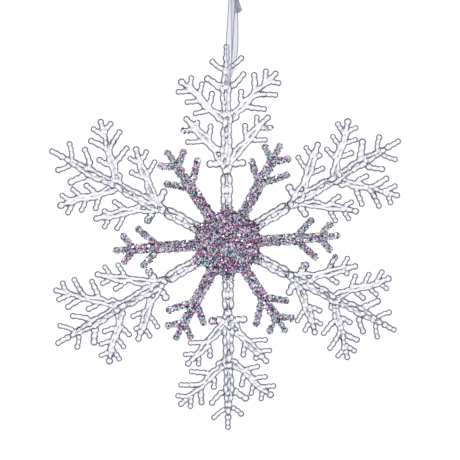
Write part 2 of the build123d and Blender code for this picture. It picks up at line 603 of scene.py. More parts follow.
@dataclass
class ClearMoulding:
    """The clear snowflake: a hub, six long arms and six short arms. Sizes in millimetres."""

    stem_depth: float = 3.5
    branch_depth: float = 2.9
    twig_depth: float = 2.45
    short_depth: float = 2.9
    short_twig_depth: float = 2.668
    stem_overlap: float = 0.64
    stem_neck: float = 0.78
    branch_overlap: float = 0.70
    branch_neck: float = 0.84
    core: float = 0.66  # depth of the web between the rows, as a share of theirs
    proud: float = 1.04  # depth of the beads that lie on the web, as a share of the rows'
    twig_overlap: float = 0.72
    twig_neck: float = 0.84
    twig_swell: float = 0.17  # added to a twig bead's half width, and half of it to a ball
    eye_height: float = 65.1
    eye_radius: float = 1.1
    short_lean: float = 1.45
    hub_radius: float = 13.9
    root_fillet: float = 0.35  # how far the hub swells towards each arm
    hub_depth: float = 3.5
    voxel: float = 0.22
    centre: Vector = field(default_factory=Vector)
    hub: bpy.types.Object | None = None
    long_arms: list[bpy.types.Object] = field(default_factory=list)
    short_arms: list[bpy.types.Object] = field(default_factory=list)

    def __post_init__(self) -> None:
        """Finds the hub's centre in the frame."""
        low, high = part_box("hub")
        self.centre = (Vector(low) + Vector(high)) / 2

    @property
    def pieces(self) -> list[bpy.types.Object]:
        """The hub and the twelve arms."""
        return [self.hub, *self.long_arms, *self.short_arms]

    def placed(self, angle: float) -> Matrix:
        """Returns the matrix of an arm at an angle anticlockwise from straight up."""
        return Matrix.Translation(self.centre) @ Matrix.Rotation(-math.radians(angle), 4, "Y")

    def add_stem(self, pattern: BeadedPattern) -> None:
        """Adds the long arm's stem: two rows of beads, the web between them, and the tip.

        Args:
            pattern: The pattern that takes the beads.
        """
        for row in (
            [(-1.3, 14.2, 1.45), (-1.5, 18.2, 1.4), (-1.6, 22.3, 1.25), (-1.5, 26.5, 1.4)],
            [(1.1, 14.2, 1.4), (1.05, 18.2, 1.35), (1.5, 22.3, 1.3), (1.25, 26.6, 1.4)],
            [(-0.9, 30.2, 1.15), (-1.6, 32.4, 1.25), (-1.9, 35.6, 1.2), (-1.8, 38.9, 1.25)],
            [(0.9, 30.2, 1.15), (1.3, 31.9, 1.25), (0.6, 35.2, 1.2), (1.4, 38.6, 1.25)],
            [(-1.8, 38.9, 1.2), (-1.35, 42.2, 1.25), (-1.55, 46.3, 1.25), (-0.9, 49.6, 1.0)],
            [(1.4, 38.6, 1.2), (1.35, 42.7, 1.35), (1.25, 47.0, 1.25), (1.75, 51.4, 1.1)],
            [(-0.9, 53.4, 1.1), (-1.0, 56.4, 1.2), (-1.5, 60.2, 1.25), (-1.5, 64.0, 1.3)],
            [(1.3, 53.4, 1.0), (1.1, 56.4, 1.1), (1.05, 60.1, 1.2), (1.1, 64.0, 1.3)],
            [(-1.4, 64.0, 1.3), (-1.05, 68.0, 1.15), (-0.55, 71.0, 1.2), (-0.1, 74.0, 1.1)],
            [(1.2, 64.0, 1.3), (0.95, 68.2, 1.25), (0.9, 71.0, 1.1), (0.5, 74.0, 1.1)],
        ):
            pattern.limb(row, self.stem_depth, self.stem_overlap, self.stem_neck)
        for bottom, top, wide in ((12, 30, 1.75), (27, 51, 1.8), (47, 67, 1.6), (63, 75, 1.2)):
            half = (top - bottom) / 2
            pattern.lump((0.0, bottom + half), half * 1.1, wide, 90, self.stem_depth * self.core)
        for row in (
            [(1.4, 36.0), (5.5, 40.2), (9.0, 43.8), (12.0, 47.0), (14.4, 49.7)],
            [(-1.6, 38.0), (-5.6, 40.8), (-8.2, 43.6), (-10.6, 45.9), (-12.7, 48.2)],
            [(1.2, 51.6), (4.4, 54.8), (8.0, 58.6), (10.7, 61.5), (13.8, 64.0), (16.8, 66.2)],
            [(-1.2, 51.8), (-4.2, 54.4), (-7.4, 57.3), (-9.9, 60.4), (-12.6, 63.2), (-15.0, 65.3)],
        ):
            places = [(across, up, 1.15) for across, up in row]
            pattern.limb(places, self.branch_depth * self.core, self.branch_overlap, 0.95)
        for place, half_long, half_wide, turn in (
            ((0.0, 22.5), 2.5, 1.15, 90),
            ((0.0, 30.5), 1.6, 1.5, 90),
            ((0.2, 33.6), 1.7, 1.1, 40),
            ((-0.4, 36.6), 1.6, 1.1, 110),
            ((-0.2, 45.2), 1.7, 0.9, 90),
            ((-0.3, 50.5), 2.3, 1.4, 90),
            ((-0.1, 53.7), 1.3, 1.0, 90),
            ((-0.6, 58.6), 1.3, 0.85, 60),
            ((0.3, 65.8), 1.3, 1.5, 0),
        ):
            pattern.lump(place, half_long, half_wide, turn, self.stem_depth * self.proud)
        pattern.limb(
            [(0.1, 72.6, 1.3), (0.15, 74.4, 1.35), (0.2, 76.7, 1.6), (0.35, 79.2, 1.35), (0.3, 81.2, 1.35)],
            self.twig_depth,
            self.twig_overlap,
            self.twig_neck,
            ball=True,
        )

    def add_branches(self, pattern: BeadedPattern) -> None:
        """Adds the four side branches' rows: lower right, lower left, upper right, upper left.

        Args:
            pattern: The pattern that takes the beads.
        """
        for row in (
            [(1.2, 34.9, 1.1), (2.9, 36.9, 1.05), (3.6, 39.0, 1.05), (5.2, 40.7, 1.15), (8.0, 42.6, 1.3),
             (9.0, 45.2, 1.25), (11.0, 47.2, 1.2), (13.2, 48.6, 1.35), (14.9, 50.2, 1.35)],
            [(2.6, 34.6, 1.0), (5.1, 37.3, 1.1), (7.0, 39.9, 1.2), (10.1, 43.1, 1.2), (11.5, 45.1, 1.15),
             (13.2, 47.6, 1.2)],
            [(-1.6, 38.7, 1.2), (-5.5, 39.7, 1.3), (-8.7, 42.8, 1.3), (-11.0, 45.2, 1.1),
             (-13.2, 47.7, 1.1)],
            [(-2.6, 39.6, 0.9), (-5.8, 41.8, 1.2), (-7.7, 44.9, 1.05), (-9.8, 46.7, 1.15),
             (-11.6, 48.7, 1.05)],
            [(-2.6, 33.6, 1.2), (-4.1, 36.2, 1.2), (-5.3, 39.2, 1.1)],
            [(1.9, 51.0, 1.1), (4.2, 52.4, 1.25), (4.7, 54.4, 1.1), (6.9, 55.8, 1.15), (9.2, 58.6, 1.25),
             (10.4, 60.3, 1.3), (12.6, 61.3, 1.2), (15.2, 61.6, 1.15)],
            [(1.9, 53.2, 0.9), (2.5, 54.5, 1.05), (5.2, 56.7, 1.1), (7.6, 59.3, 1.25), (9.6, 61.0, 1.0),
             (11.1, 62.7, 1.1), (13.3, 63.9, 1.25), (15.0, 65.1, 1.15), (17.2, 66.2, 1.15)],
            [(-1.4, 51.0, 1.1), (-3.1, 52.0, 1.35), (-5.4, 54.5, 1.25), (-8.6, 57.0, 1.2),
             (-10.3, 59.7, 1.7), (-12.5, 62.4, 1.2), (-14.6, 63.8, 1.1)],
            [(-1.4, 53.2, 0.9), (-2.9, 54.7, 1.0), (-6.0, 56.3, 1.05), (-7.9, 58.5, 1.1),
             (-9.9, 61.2, 1.1), (-13.4, 64.6, 1.2), (-15.9, 66.0, 1.1)],
        ):
            pattern.limb(row, self.branch_depth, self.branch_overlap, self.branch_neck)

    def add_twigs(self, pattern: BeadedPattern) -> None:
        """Adds the stubs, the twigs and the crown, each ending in a ball.

        Args:
            pattern: The pattern that takes the beads.
        """
        for row in (
            [(-2.4, 33.4, 1.4), (-4.2, 33.4, 1.55), (-6.6, 33.5, 1.75)],
            [(1.8, 33.2, 1.2), (3.8, 33.4, 1.75), (6.5, 33.5, 1.65)],
            [(7.9, 44.4, 1.0), (7.6, 46.6, 1.15), (7.6, 48.8, 1.35)],
            [(12.3, 48.2, 1.0), (12.3, 50.0, 1.15), (12.4, 52.2, 1.2)],
            [(10.4, 43.0, 1.1), (11.7, 42.8, 1.15), (13.7, 42.8, 1.1), (15.7, 42.8, 1.2)],
            [(13.6, 47.8, 1.1), (15.5, 47.7, 1.1), (17.8, 47.8, 1.2)],
            [(14.4, 49.4, 1.2), (15.2, 50.4, 1.2), (16.8, 51.9, 1.4)],
            [(-6.9, 44.6, 1.1), (-6.6, 46.8, 1.2), (-6.4, 49.0, 1.3)],
            [(-11.4, 47.9, 1.0), (-11.7, 49.2, 1.0), (-11.7, 50.8, 1.25)],
            [(-9.6, 43.0, 1.0), (-11.4, 42.9, 1.1), (-13.4, 42.8, 1.05), (-15.6, 42.9, 1.25)],
            [(-13.4, 47.7, 1.05), (-15.2, 47.7, 1.1), (-17.4, 47.7, 1.2)],
            [(-12.6, 48.5, 1.0), (-14.1, 50.2, 1.5), (-16.0, 52.3, 1.4)],
            [(6.2, 57.6, 1.1), (5.85, 59.9, 1.2), (6.1, 62.8, 1.35)],
            [(11.2, 62.8, 1.1), (11.6, 66.2, 1.4), (11.4, 69.4, 1.4)],
            [(15.6, 66.6, 1.1), (15.9, 68.9, 1.15), (16.1, 70.9, 1.25)],
            [(16.9, 67.0, 1.1), (18.2, 68.1, 1.3), (20.0, 69.8, 1.35)],
            [(17.2, 66.4, 1.1), (19.3, 66.4, 1.15), (21.2, 66.0, 1.25)],
            [(8.8, 56.6, 1.15), (10.4, 56.2, 1.35), (12.9, 55.9, 1.25), (15.4, 55.5, 1.25)],
            [(13.2, 61.5, 1.2), (15.2, 61.5, 1.25), (17.7, 61.4, 1.15), (19.9, 61.2, 1.25)],
            [(-6.8, 57.6, 1.1), (-6.3, 59.4, 1.25), (-5.7, 62.3, 1.35)],
            [(-10.6, 62.4, 1.1), (-10.2, 64.1, 1.1), (-9.7, 66.4, 1.2)],
            [(-13.9, 65.2, 1.1), (-14.2, 67.0, 1.1), (-13.9, 69.0, 1.2)],
            [(-15.4, 65.2, 1.05), (-16.3, 66.2, 1.15), (-17.8, 67.5, 1.6)],
            [(-15.0, 63.7, 1.1), (-17.2, 63.6, 1.15), (-19.1, 63.6, 1.25)],
            [(-11.2, 59.8, 1.2), (-13.4, 59.4, 1.1), (-15.6, 59.3, 1.2)],
            [(-8.0, 55.4, 1.05), (-9.8, 55.1, 1.2), (-12.3, 54.6, 1.25)],
            [(1.4, 64.8, 1.2), (3.3, 65.8, 1.4), (5.1, 67.6, 1.2), (7.0, 69.9, 1.35)],
            [(-1.4, 65.4, 1.1), (-3.1, 65.9, 1.25), (-5.2, 67.1, 1.5), (-7.3, 68.5, 1.6)],
            [(-1.6, 63.8, 1.1), (-3.4, 64.9, 1.05), (-5.0, 66.2, 0.9)],
            [(-0.8, 71.9, 1.05), (-2.2, 72.7, 1.1), (-3.9, 73.9, 1.05), (-5.3, 75.4, 1.35)],
            [(1.0, 72.7, 1.05), (2.6, 73.5, 1.05), (4.5, 74.9, 1.05), (6.2, 76.5, 1.25)],
        ):
            swollen = [(x, z, half + self.twig_swell) for x, z, half in row[:-1]]
            swollen.append((row[-1][0], row[-1][1], row[-1][2] + self.twig_swell / 2))
            pattern.limb(swollen, self.twig_depth, self.twig_overlap, self.twig_neck, ball=True)

    def long_pattern(self) -> BeadedPattern:
        """Lays out the long arm, whose beads lie like the grains in an ear of wheat.

        Returns:
            The arm's beads.
        """
        pattern = BeadedPattern()
        self.add_stem(pattern)
        self.add_branches(pattern)
        self.add_twigs(pattern)
        return pattern

    def short_pattern(self) -> BeadedPattern:
        """Lays out the short arm, a double stem with five twigs.

        Returns:
            The arm's beads.
        """
        pattern = BeadedPattern()
        for side in (-1, 1):
            stem = [(side * 1.15, up, 1.3) for up in (13.8, 17.4, 21.0, 24.6, 28.2)]
            neck = [(side * 0.9, up, 1.15) for up in (29.0, 32.2, 35.4, 38.4)]
            pattern.limb(stem, self.short_depth, self.stem_overlap, self.stem_neck)
            pattern.limb(neck, self.short_depth, self.stem_overlap, self.stem_neck)
        pattern.lump((0.0, 25.5), 13.5, 1.3, 90, self.short_depth * self.core)
        for row in (
            [(0.0, 38.0, 1.5), (0.0, 40.6, 1.4), (-0.1, 43.0, 1.35), (-0.2, 45.5, 1.45)],
            [(-0.8, 28.6, 1.45), (-2.9, 30.6, 1.55), (-5.1, 32.7, 1.5), (-7.2, 34.7, 1.5)],
            [(0.8, 28.8, 1.45), (3.2, 31.1, 1.55), (5.7, 33.6, 1.5), (8.1, 36.1, 1.5)],
            [(0.0, 38.2, 1.4), (-2.6, 40.4, 1.5), (-5.2, 42.5, 1.5)],
            [(0.0, 38.2, 1.4), (2.7, 40.3, 1.5), (5.4, 42.3, 1.5)],
        ):
            pattern.limb(row, self.short_twig_depth, self.twig_overlap, self.twig_neck, ball=True)
        return pattern

    def hub_mesh(self) -> bpy.types.Mesh:
        """Makes the hub: a flat disc with a rounded rim that swells at each arm's root.

        Returns:
            The mesh, in metres, around the hub's centre.
        """
        sides, rings = 144, 10
        half, rim = self.hub_depth / 2, self.hub_depth / 2
        profile = [(0.0, -half)]
        profile += [
            (self.hub_radius - rim + rim * math.sin(t), -half * math.cos(t))
            for t in (math.pi * i / rings for i in range(rings + 1))
        ]
        profile += [(0.0, half)]
        shape = bmesh.new()
        loops = []
        for radius, y in profile:
            ring = []
            for i in range(1 if radius == 0 else sides):
                turn = 2 * math.pi * i / sides
                reach = radius * (1 + self.root_fillet * math.cos(12 * turn) / self.hub_radius)
                ring.append(
                    shape.verts.new((reach * MM * math.sin(turn), y * MM, reach * MM * math.cos(turn)))
                )
            loops.append(ring)
        for one, two in zip(loops, loops[1:]):
            for i in range(sides):
                ring = [one[i % len(one)], one[(i + 1) % len(one)]]
                ring += [two[(i + 1) % len(two)], two[i % len(two)]]
                shape.faces.new(list(dict.fromkeys(ring)))
        bmesh.ops.recalc_face_normals(shape, faces=shape.faces)
        mesh = bpy.data.meshes.new("clear_hub")
        shape.to_mesh(mesh)
        shape.free()
        smooth(mesh)
        return mesh

    def arm(self, name: str, mesh: bpy.types.Mesh, angle: float, node: str) -> bpy.types.Object:
        """Places a copy of an arm's mesh and lets it stand for its CAD node.

        Args:
            name: The piece's name.
            mesh: The arm's mesh, straight up, around the hub's centre.
            angle: Its angle anticlockwise from straight up, in degrees.
            node: The CAD node that it stands for.

        Returns:
            The placed arm.
        """
        copy = mesh.copy()
        copy.name = name
        copy.transform(self.placed(angle))
        made = new_object(name, copy)
        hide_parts(node)
        return made

    def make(self, finish: bpy.types.Material) -> None:
        """Builds and dresses the hub and the twelve arms.

        Args:
            finish: The clear plastic.
        """
        long_beads = self.long_pattern()
        eye = Bead(0, self.eye_height, 1, self.eye_radius, 1, 0)
        plain = long_beads.build("long_arm_plain", self.voxel)
        eyed = long_beads.build("long_arm_eyed", self.voxel, [eye])
        short = self.short_pattern().build("short_arm_plain", self.voxel)
        hub = self.hub_mesh()
        hub.transform(Matrix.Translation(self.centre))
        self.hub = new_object("clear_hub", hub)
        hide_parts("hub")
        for i in range(6):
            mesh = eyed if i == 0 else plain
            number = i + 1
            self.long_arms.append(
                self.arm(f"clear_long_arm_{number}", mesh, -60 * i, f"long_arm_{number}")
            )
            angle = -60 * i - 30 + self.short_lean
            self.short_arms.append(
                self.arm(f"clear_short_arm_{number}", short, angle, f"short_arm_{number}")
            )
        for piece in self.pieces:
            piece.data.materials.append(finish)
            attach(piece, SNOWFLAKE)


# ---------------------------------------------------------------- the glitter


@dataclass
class GlitterCoat:
    """The glitter on the front: a film of adhesive and the flakes that stand on it."""

    flake_mm: float = 0.62
    film_mm: float = 0.12
    ragged: float = 1.5  # how far the film's thickness varies, as a share of it
    ragged_mm: float = 5 / 9  # and over what distance
    tilt: float = 0.6  # how far flakes lie off the surface, in radians
    sideways: float = 0.35  # how readily they land on surfaces that don't face forwards
    rim_mm: float = 0.55  # how far the film stops in front of the middle, which leaves a clear rim
    seed: int = 7
    finishes: list[bpy.types.Material] = field(default_factory=list)
    thick: tuple[float, ...] = (0.14, 0.15, 0.05, 0.36, 0.30)  # share of each finish on the hub
    thin: tuple[float, ...] = (0.13, 0.12, 0.06, 0.47, 0.22)  # and on the arms
    hub_flakes: int = 4800
    arm_flakes: int = 1700
    spill_flakes: int = 9000  # tried all over a long arm, and few of them stay
    even_to: float = 41.0  # mm from the hub's centre, up to which an arm is fully coated
    tip_chance: float = 0.6  # of a flake past that
    spill_from: float = 13.8  # mm from the hub's centre
    spill_reach: float = 5.0
    stray_size: float = 2.4
    stray_chance: float = 0.5
    strays: dict[int, list[Point]] = field(
        default_factory=lambda: {  # places on the long arms, by arm, where some glitter strayed
            1: [(-17.0, 47.7), (17.4, 47.8)],
            3: [(-6.6, 33.5), (-13.0, 42.9), (-15.4, 42.9)],
            4: [(6.5, 33.5)],
            5: [(6.5, 33.5)],
            6: [(-6.6, 33.5)],
        }
    )
    spill_fade: float = 1.7  # how fast the strays thin out over that reach
    size_spread: float = 0.2  # of the flakes, as a share of their size
    least_size: float = 0.6
    hub_film: bpy.types.Material | None = None
    arm_film: bpy.types.Material | None = None
    pieces: list[bpy.types.Object] = field(default_factory=list)

    def film_mesh(self, clear: bpy.types.Object, back: float) -> bpy.types.Mesh:
        """Makes the adhesive film over the front of a clear piece.

        Args:
            clear: The clear piece under it.
            back: How far back the film wraps round the rim, as Y in metres.

        Returns:
            A single surface just proud of the clear surface, cut off behind.
        """
        shape = bmesh.new()
        shape.from_mesh(clear.data)
        shape.normal_update()
        lift = self.film_mm * MM
        for vertex in shape.verts:
            ragged = self.ragged * noise(vertex.co / (self.ragged_mm * MM))
            vertex.co += vertex.normal * lift * (1 + ragged)
        bmesh.ops.bisect_plane(
            shape,
            geom=[*shape.verts, *shape.edges, *shape.faces],
            plane_co=(0, back, 0),
            plane_no=(0, 1, 0),
            clear_outer=True,
        )
        mesh = bpy.data.meshes.new("film")
        shape.to_mesh(mesh)
        shape.free()
        return mesh

    def flakes(
        self,
        mesh: bpy.types.Mesh,
        count: int,
        keep: Callable[[Vector], float],
        shares: tuple[float, ...],
        draw: random.Random,
    ) -> bpy.types.Mesh:
        """Scatters hexagonal flakes over a surface.

        Args:
            mesh: The surface that they stand on.
            count: How many to try.
            keep: The chance that a flake stays at a place.
            shares: The share of each finish.
            draw: The seeded random numbers.

        Returns:
            A mesh of flat hexagons, each with the index of its finish.
        """
        mesh.calc_loop_triangles()
        corners = np.array([v.co for v in mesh.vertices])
        triangles = np.array([t.vertices for t in mesh.loop_triangles])
        a, b, c = (corners[triangles[:, i]] for i in range(3))
        cross = np.cross(b - a, c - a)
        area = np.linalg.norm(cross, axis=1)
        normals = cross / np.maximum(area, 1e-15)[:, None]
        front = area * np.clip(-normals[:, 1] + self.sideways, 0, 1)
        total = np.cumsum(front)
        made = bmesh.new()
        for _ in range(count):
            i = int(np.searchsorted(total, draw.random() * total[-1]))
            u, v = draw.random(), draw.random()
            if u + v > 1:
                u, v = 1 - u, 1 - v
            place = Vector(a[i] + u * (b[i] - a[i]) + v * (c[i] - a[i]))
            normal = Vector(normals[i])
            chance, tilt = draw.random(), draw.gauss(0, self.tilt)
            spin, lean, size = draw.uniform(0, 6.3), draw.uniform(0, 6.3), draw.gauss(1, self.size_spread)
            pick = draw.random()
            if chance > keep(place):
                continue
            turn = normal.to_track_quat("Z", "Y")
            turn = turn @ Quaternion((math.cos(lean), math.sin(lean), 0), tilt)
            turn = turn @ Quaternion((0, 0, 1), spin)
            radius = self.flake_mm * MM / 2 * max(self.least_size, size)
            # A tilted flake stands higher, so that its low edge stays out of the film.
            lift = normal * radius * (0.25 + 0.55 * abs(math.sin(tilt)))
            ring = [
                made.verts.new(
                    place
                    + lift
                    + turn
                    @ Vector((radius * math.cos(k * math.pi / 3), radius * math.sin(k * math.pi / 3), 0))
                )
                for k in range(6)
            ]
            face = made.faces.new(ring)
            level = 0
            while level < len(shares) - 1 and pick > sum(shares[: level + 1]):
                level += 1
            face.material_index = level
        result = bpy.data.meshes.new("flakes")
        made.to_mesh(result)
        made.free()
        return result

    def coat(
        self,
        clear: bpy.types.Object,
        name: str,
        node: str,
        count: int,
        keep: Callable[[Vector], float],
        shares: tuple[float, ...],
    ) -> None:
        """Coats the front of one clear piece with a film, which stands for the CAD skin, and flakes.

        Args:
            clear: The clear piece.
            name: The start of the film's and the flakes' names.
            node: The CAD skin that the film stands for.
            count: How many flakes to try.
            keep: The chance that a flake stays at a place.
            shares: The share of each finish.
        """
        draw = random.Random(f"{self.seed}{name}")
        film = new_object(f"{name}_film", self.film_mesh(clear, -self.rim_mm * MM))
        film.data.materials.clear()
        film.data.materials.append(self.hub_film if shares is self.thick else self.arm_film)
        smooth(film.data)
        flakes = new_object(f"{name}_flakes", self.flakes(film.data, count, keep, shares, draw))
        for finish in self.finishes:
            flakes.data.materials.append(finish)
        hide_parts(node)
        self.pieces += [film, flakes]
        for piece in (film, flakes):
            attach(piece, SNOWFLAKE)

    def spill(
        self, clear: bpy.types.Object, name: str, count: int, keep: Callable[[Vector], float]
    ) -> None:
        """Scatters stray flakes on a clear piece beside the coat.

        Args:
            clear: The clear piece.
            name: The flakes' name.
            count: How many flakes to try.
            keep: The chance that a flake stays at a place.
        """
        draw = random.Random(f"{self.seed}{name}")
        flakes = new_object(name, self.flakes(clear.data, count, keep, self.thick, draw))
        for finish in self.finishes:
            flakes.data.materials.append(finish)
        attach(flakes, SNOWFLAKE)
        self.pieces.append(flakes)

    def make(self, moulding: ClearMoulding) -> None:
        """Coats the hub and the short arms, and lets some flakes stray onto the long arms.

        Args:
            moulding: The clear pieces under the glitter.
        """
        centre = moulding.centre
        self.coat(
            moulding.hub, "glitter_hub", "glitter_coat_hub", self.hub_flakes, lambda p: 1.0, self.thick
        )
        for i, arm in enumerate(moulding.short_arms):
            self.coat(
                arm,
                f"glitter_arm_{i + 1}",
                f"glitter_coat_arm_{i + 1}",
                self.arm_flakes,
                lambda p: 1.0 if (p - centre).length < self.even_to * MM else self.tip_chance,
                self.thin,
            )
        for i, arm in enumerate(moulding.long_arms):
            turn = moulding.placed(-60 * i)
            spots = [turn @ (Vector((across, 0, up)) * MM) for across, up in self.strays.get(i + 1, ())]

            def keep(place: Vector, spots: list[Vector] = spots) -> float:
                """Gives the chance that a flake lies at a place on a long arm.

                Args:
                    place: The flake's place, in metres.
                    spots: Where glitter strayed on this arm.

                Returns:
                    A chance from 0 to 1.
                """
                past = (place - centre).length - self.spill_from * MM
                chance = max(0.0, 1 - max(0.0, past) / (self.spill_reach * MM)) ** self.spill_fade
                near = any((place - spot).length < self.stray_size * MM for spot in spots)
                return max(chance, self.stray_chance if near else 0.0)

            self.spill(arm, f"glitter_spill_{i + 1}", self.spill_flakes, keep)


# ---------------------------------------------------------------- the ribbon


def spline_line(name: str, route: list[Vector]) -> list[Vector]:
    """Draws a smooth NURBS line with a route's points as control points.

    Args:
        name: The curve's name.
        route: The control points, in metres.

    Returns:
        Points along the line.
    """
    curve = bpy.data.curves.new(name, "CURVE")
    curve.dimensions = "3D"
    curve.resolution_u = 16
    spline = curve.splines.new("NURBS")
    spline.points.add(len(route) - 1)
    for point, place in zip(spline.points, route):
        point.co = (*place, 1.0)
    spline.order_u = 3
    spline.use_endpoint_u = True
    bare = bpy.data.objects.new(name, curve)
    mesh = bpy.data.meshes.new_from_object(bare)
    line = [v.co.copy() for v in mesh.vertices]
    bpy.data.objects.remove(bare)
    bpy.data.meshes.remove(mesh)
    return line


@dataclass
class HangingRibbon:
    """One sheer ribbon: a loop for the hook, a knot with two cut tails, and two strands.

    The strands go down to the eye, where the ribbon is bunched up. Sizes in millimetres.
    """

    width: float = 3.0
    thickness: float = 0.12
    bunched: float = 1.1  # width in the eye
    bunched_to: float = 1.6  # distance from the eye where it starts to open
    opens_over: float = 16.0
    hanging: float = 2.9  # width of a strand that hangs free
    knot_turns: float = 1.6
    knot_width: float = 2.2  # of the folded ribbon in the middle of the knot
    knot_taper: float = 0.5  # half of it is how much narrower its ends are
    tail_root: float = 1.5  # a tail's width where it leaves the knot
    tail_spread: float = 1.0  # how much wider its end is
    into_knot: float = 1.2  # how far the loop's feet run down into the knot
    across: int = 14  # faces across the ribbon
    pieces: list[bpy.types.Object] = field(default_factory=list)

    def strip(
        self, name: str, line: list[Vector], widths: list[float], faces: list[Vector], curl: float
    ) -> bpy.types.Object:
        """Makes a strip of ribbon along a line.

        Args:
            name: The piece's name.
            line: Points down its middle, in metres.
            widths: Its width at each point, in metres.
            faces: The way that it faces at each point.
            curl: How far its edges curl towards that way, as a share of the width.

        Returns:
            A single-sided strip with its UV map.
        """
        shape = bmesh.new()
        layer = shape.loops.layers.uv.new("ribbon")
        rows, along = [], 0.0
        for i, place in enumerate(line):
            ahead = (line[min(i + 1, len(line) - 1)] - line[max(i - 1, 0)]).normalized()
            side = ahead.cross(faces[i]).normalized()
            out = side.cross(ahead).normalized()
            if i:
                along += (place - line[i - 1]).length
            row = []
            for k in range(self.across + 1):
                u = k / self.across - 0.5
                bend = curl * widths[i] * (4 * u * u - 0.4)
                row.append((shape.verts.new(place + side * u * widths[i] + out * bend), u + 0.5, along))
            rows.append(row)
        for one, two in zip(rows, rows[1:]):
            for k in range(self.across):
                corners = [one[k], one[k + 1], two[k + 1], two[k]]
                face = shape.faces.new([c[0] for c in corners])
                for loop, corner in zip(face.loops, corners):
                    loop[layer].uv = (corner[1], corner[2] / MM)
        mesh = bpy.data.meshes.new(name)
        shape.to_mesh(mesh)
        shape.free()
        smooth(mesh)
        made = new_object(name, mesh)
        self.pieces.append(made)
        return made

    def lower(self, finish: bpy.types.Material) -> None:
        """Makes the two strands and the bunched stretch in the eye, as one strip.

        Args:
            finish: The ribbon's finish.
        """
        route = [
            (-0.5, -0.45, -30.6),
            (-2.1, -1.7, -49.4),
            (-2.0, -2.25, -58.0),
            (-2.1, -2.65, -63.6),
            (-3.1, -2.65, -65.9),
            (-3.1, 2.65, -65.9),
            (-1.3, 2.65, -63.6),
            (0.5, 2.1, -56.5),
            (0.7, 1.4, -45.0),
            (0.5, 1.0, -38.0),
            (0.4, 0.45, -30.6),
        ]
        line = spline_line("ribbon_strands", [Vector(p) * MM for p in route])
        eye = Vector((-3.1, 0, -65.9)) * MM
        widths, faces = [], []
        for place in line:
            away = (place - eye).length / MM
            share = min(1.0, max(0.0, (away - self.bunched_to) / self.opens_over))
            share = share * share * (3 - 2 * share)
            widths.append((self.bunched + (self.hanging - self.bunched) * share) * MM)
            outwards = Vector((0.0, place.y, (place.z - eye.z) * -0.6 if away < 3 else 0.0))
            faces.append(outwards.normalized() if outwards.length else Vector((0, 0, -1)))
        made = self.strip("ribbon_strands", line, widths, faces, curl=0.10)
        made.data.materials.append(finish)
        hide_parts("ribbon_strand_front", "ribbon_strand_back", "ribbon_bight")
        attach(made, RIBBON)

    def upper(self, finish: bpy.types.Material) -> None:
        """Makes the loop above the knot, which goes over the hook.

        Args:
            finish: The ribbon's finish.
        """
        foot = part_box("ribbon_loop")[0][2] / MM
        route = [
            (0, -0.75, foot),
            (0, -3.5, foot + 9.0),
            (0, -3.5, 0.15),
            (0, 3.5, 0.15),
            (0, 3.5, foot + 9.0),
            (0, 0.75, foot),
        ]
        line = spline_line("ribbon_loop_strip", [Vector(p) * MM for p in route])
        down = Vector((0, 0, self.into_knot * MM))
        line = [line[0] - down, *line, line[-1] - down]
        middle = Vector((0, 0, foot / 2)) * MM
        faces = [Vector((0, p.y, max(0.0, p.z - middle.z))).normalized() for p in line]
        widths = [self.hanging * MM] * len(line)
        made = self.strip("ribbon_loop_strip", line, widths, faces, curl=0.06)
        made.data.materials.append(finish)
        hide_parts("ribbon_loop")
        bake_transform(made)

    def knot(self, finish: bpy.types.Material) -> bpy.types.Object:
        """Makes the overhand knot as flat turns round the strands, drawn tight.

        Args:
            finish: The folded ribbon's finish.

        Returns:
            The knot.
        """
        low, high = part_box("ribbon_knot")
        middle = (Vector(low) + Vector(high)) / 2
        half = (Vector(high) - Vector(low)) / 2
        line, faces, widths = [], [], []
        steps = 90
        for i in range(steps + 1):
            t = i / steps
            turn = 2 * math.pi * self.knot_turns * t
            swell = 0.78 + 0.16 * math.sin(math.pi * t)
            out = Vector((math.cos(turn), math.sin(turn), 0))
            place = Vector(
                (
                    half.x * swell * out.x,
                    half.y * swell * out.y,
                    half.z * (0.45 * math.sin(turn * 0.9 + 0.6) + 0.1 * (t - 0.5)),
                )
            )
            line.append(middle + place)
            faces.append(out)
            widths.append((self.knot_width - self.knot_taper * abs(t - 0.5)) * MM)
        made = self.strip("ribbon_knot_turns", line, widths, faces, curl=-0.16)
        made.data.materials.append(finish)
        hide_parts("ribbon_knot")
        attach(made, RIBBON)
        return made

    def tail(
        self, name: str, node: str, finish: bpy.types.Material, behind: float
    ) -> bpy.types.Object:
        """Makes one cut tail, which hangs out of the knot.

        Args:
            name: The piece's name.
            node: The CAD node that it stands for.
            finish: The folded ribbon's finish.
            behind: -1 for the tail in front and 1 for the one behind.

        Returns:
            The tail.
        """
        low, high = (Vector(c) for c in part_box(node))
        start = Vector((0.7 * MM, behind * 0.8 * MM, high.z + 0.9 * MM))
        end = Vector((high.x - 1.2 * MM, behind * 1.35 * MM, low.z + 0.7 * MM))
        line, faces, widths = [], [], []
        steps = 24
        for i in range(steps + 1):
            t = i / steps
            place = start.lerp(end, t)
            place.y -= behind * 0.3 * MM * math.sin(2.2 * math.pi * t)
            line.append(place)
            turn = 0.8 * math.sin(2.0 * t + (0.5 if behind > 0 else 0.0))
            faces.append(Vector((math.sin(turn), -math.cos(turn), 0)))
            widths.append((self.tail_root + self.tail_spread * t) * MM)
        made = self.strip(name, line, widths, faces, curl=0.18)
        made.data.materials.append(finish)
        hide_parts(node)
        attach(made, RIBBON)
        return made

    def make(self, sheer: bpy.types.Material, folded: bpy.types.Material) -> None:
        """Builds the whole ribbon.

        Args:
            sheer: The finish of a single layer.
            folded: The finish of the knot and its tails, where the layers pile up.
        """
        above = [
            self.knot(folded),
            self.tail("ribbon_tail_a", "ribbon_tail_front", folded, -1.0),
            self.tail("ribbon_tail_b", "ribbon_tail_back", folded, 1.0),
        ]
        self.lower(sheer)
        self.upper(sheer)


